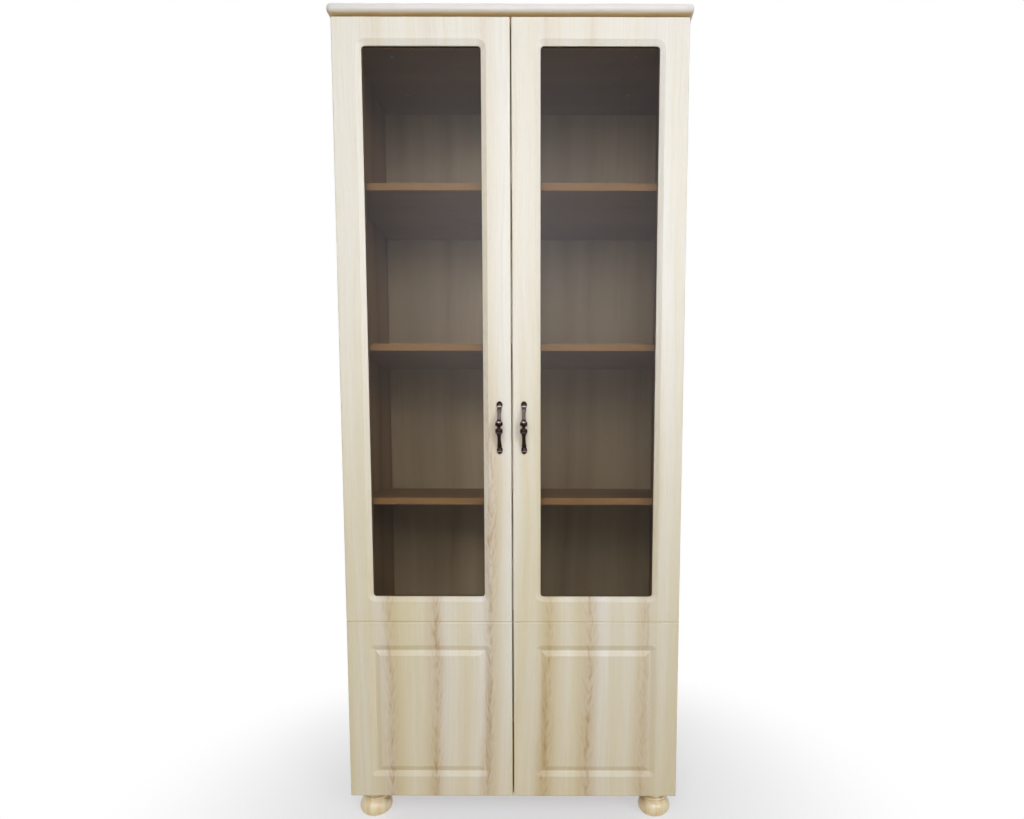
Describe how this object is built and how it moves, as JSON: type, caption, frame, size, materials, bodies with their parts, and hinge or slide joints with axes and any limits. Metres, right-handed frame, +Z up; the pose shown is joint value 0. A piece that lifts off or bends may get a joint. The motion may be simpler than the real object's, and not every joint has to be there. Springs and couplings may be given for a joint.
{
  "type": "display cabinet",
  "caption": "Tall free-standing display cabinet with glazed doors, raised lower door panels, bow handles, inner shelves and turned bun feet.",
  "frame": {"origin": "on the floor, under the middle of the cabinet's box", "axes": "+Z up, the doors face -Y, +X to the right of someone who faces the doors"},
  "size_m": [0.812, 0.429, 1.9],
  "materials": {
    "door_foil": "pale ash decor foil, vertical grain, membrane-pressed on MDF, satin",
    "top_foil": "pale ash decor foil, grain along the width, satin",
    "carcass_board": "pale ash melamine on chipboard, satin",
    "shelf_board": "pale ash melamine on chipboard with edge band, satin",
    "back_board": "printed hardboard, smooth face inwards",
    "foot_wood": "turned pine under clear gloss lacquer",
    "dowel_wood": "fluted beech",
    "bronze_glass": "light bronze float glass",
    "handle_bronze": "dark antique bronze plating, lightly rubbed",
    "hinge_steel": "nickel-plated pressed steel",
    "screw_steel": "zinc-plated",
    "cap_plastic": "board-coloured",
    "bead_plastic": "extruded glazing bead, tan",
    "bumper_rubber": "clear soft bumpers"
  },
  "bodies": {
    "carcass": {"top_board": "top_foil", "left_side_panel": "carcass_board", "right_side_panel": "carcass_board", "carcass_top": "carcass_board", "bottom_panel": "carcass_board", "upper_shelf": "shelf_board", "middle_shelf": "shelf_board", "lower_shelf": "shelf_board", "base_shelf": "shelf_board", "back_panel": "back_board", "front_left_foot": "foot_wood", "front_right_foot": "foot_wood", "rear_left_foot": "foot_wood", "rear_right_foot": "foot_wood", "dowels": "dowel_wood", "left_hinge_arms": "hinge_steel", "left_hinge_plates": "hinge_steel", "right_hinge_arms": "hinge_steel", "right_hinge_plates": "hinge_steel", "carcass_screws": "screw_steel", "top_board_screws": "screw_steel", "foot_bolts": "screw_steel", "back_nails": "screw_steel", "shelf_pins": "screw_steel", "left_arm_screws": "screw_steel", "left_plate_screws": "screw_steel", "right_arm_screws": "screw_steel", "right_plate_screws": "screw_steel", "screw_caps": "cap_plastic"},
    "left_door": {"left_door_panel": "door_foil", "left_glass": "bronze_glass", "left_glazing_bead": "bead_plastic", "left_handle": "handle_bronze", "left_handle_screws": "screw_steel", "left_hinge_cups": "hinge_steel", "left_hinge_pins": "hinge_steel", "left_cup_screws": "screw_steel", "left_door_bumpers": "bumper_rubber"},
    "right_door": {"right_door_panel": "door_foil", "right_glass": "bronze_glass", "right_glazing_bead": "bead_plastic", "right_handle": "handle_bronze", "right_handle_screws": "screw_steel", "right_hinge_cups": "hinge_steel", "right_hinge_pins": "hinge_steel", "right_cup_screws": "screw_steel", "right_door_bumpers": "bumper_rubber"}
  },
  "joints": [
    {"name": "left_door_hinge", "type": "hinge", "parent": "carcass", "child": "left_door", "pos_m": [-0.3918, -0.1765, 0.976], "axis": [0, 0, -1], "range_deg": [0, 95]},
    {"name": "right_door_hinge", "type": "hinge", "parent": "carcass", "child": "right_door", "pos_m": [0.3918, -0.1765, 0.976], "axis": [0, 0, 1], "range_deg": [0, 95]}
  ]
}
